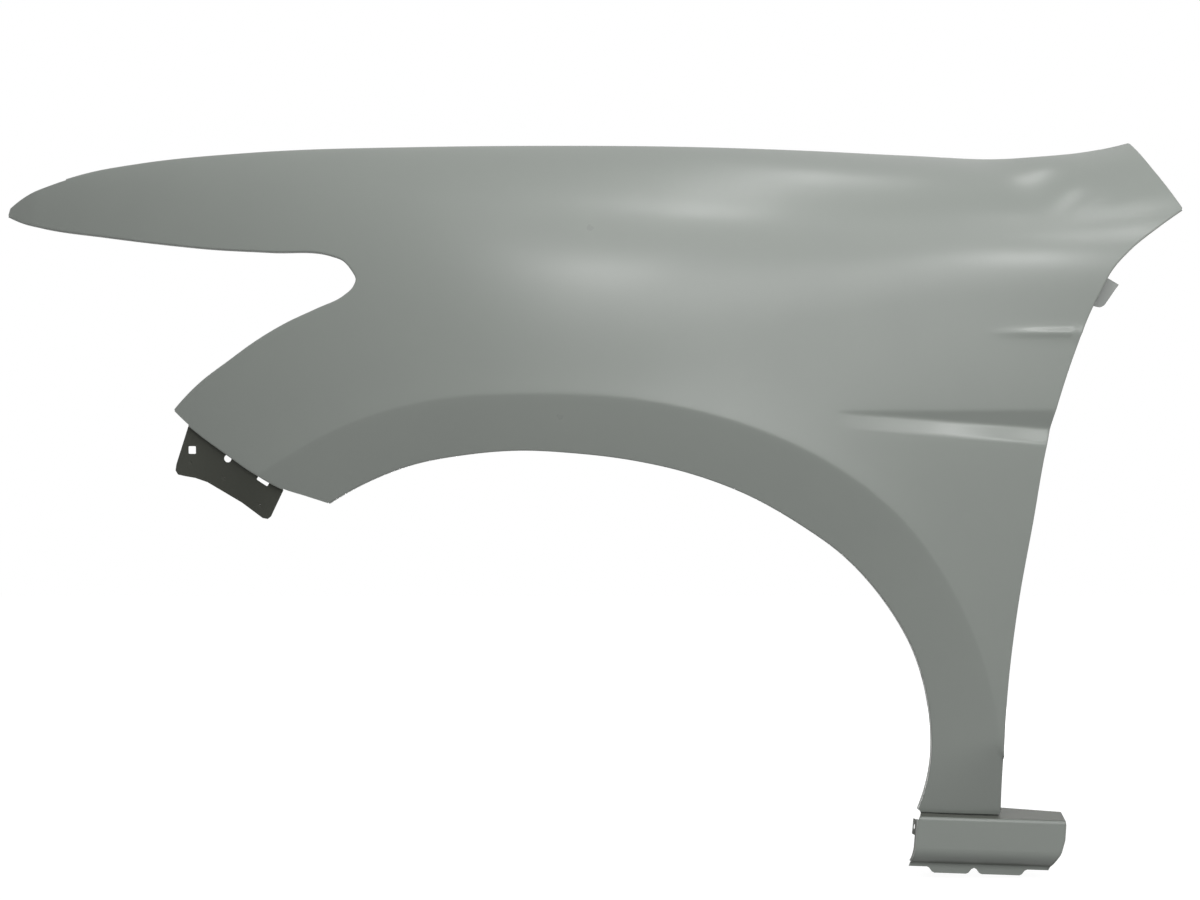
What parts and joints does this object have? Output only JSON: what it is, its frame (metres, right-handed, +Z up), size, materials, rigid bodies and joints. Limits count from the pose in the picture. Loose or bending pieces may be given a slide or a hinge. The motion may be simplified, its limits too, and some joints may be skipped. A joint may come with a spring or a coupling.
{
  "type": "car front fender",
  "caption": "Left front fender panel of drawn sheet steel in grey primer, with flared wheel arch, bolt-down bonnet ledge, lamp cut-out, bumper flange and sill foot.",
  "frame": {"origin": "underside of the middle bolt pad of the bonnet ledge, 10 mm behind its bolt hole", "axes": "+X rearwards to the door, +Y inboard to the engine bay, +Z up"},
  "size_m": [1.395, 0.2552, 0.859],
  "materials": {
    "grey_primer": "electrocoat primer, semi-matt"
  },
  "bodies": {
    "root": {"outer_panel": "grey_primer", "sill_extension": "grey_primer", "pillar_bracket": "grey_primer"}
  },
  "joints": []
}
